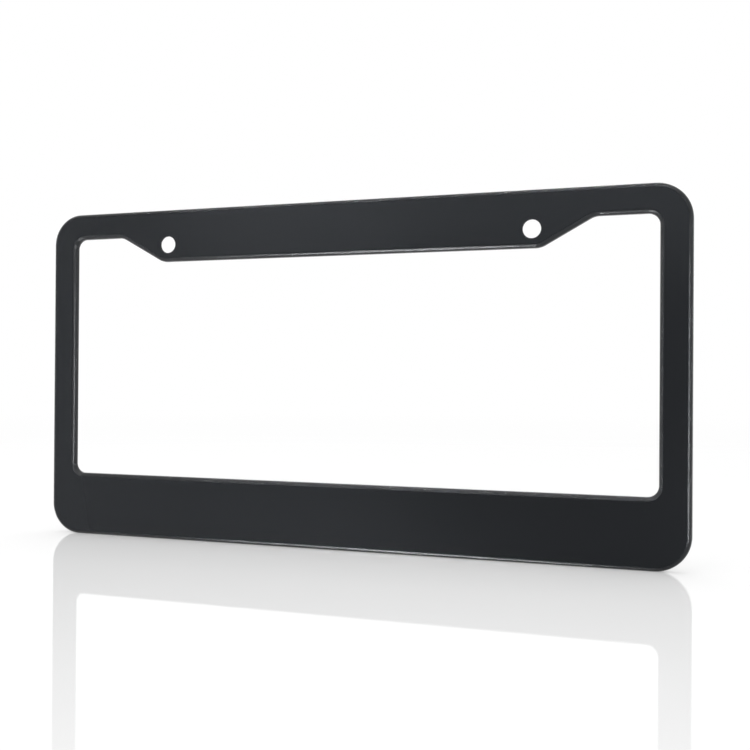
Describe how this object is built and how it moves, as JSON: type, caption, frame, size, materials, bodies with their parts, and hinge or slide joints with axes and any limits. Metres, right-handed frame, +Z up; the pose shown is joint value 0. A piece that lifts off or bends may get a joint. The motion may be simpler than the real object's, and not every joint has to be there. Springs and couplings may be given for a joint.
{
  "type": "number plate holder",
  "caption": "Thin stamped metal frame that screws over a car's number plate, with turned-back edges, a large window and screw holes in its stepped top rail.",
  "frame": {"origin": "midway between the two screw holes, on the front face", "axes": "+X across the frame, +Y back towards the vehicle, +Z up; the front face looks along -Y"},
  "size_m": [0.31, 0.005, 0.16],
  "materials": {
    "black_coat": "satin"
  },
  "bodies": {
    "root": {"plate_frame": "black_coat"}
  },
  "joints": []
}
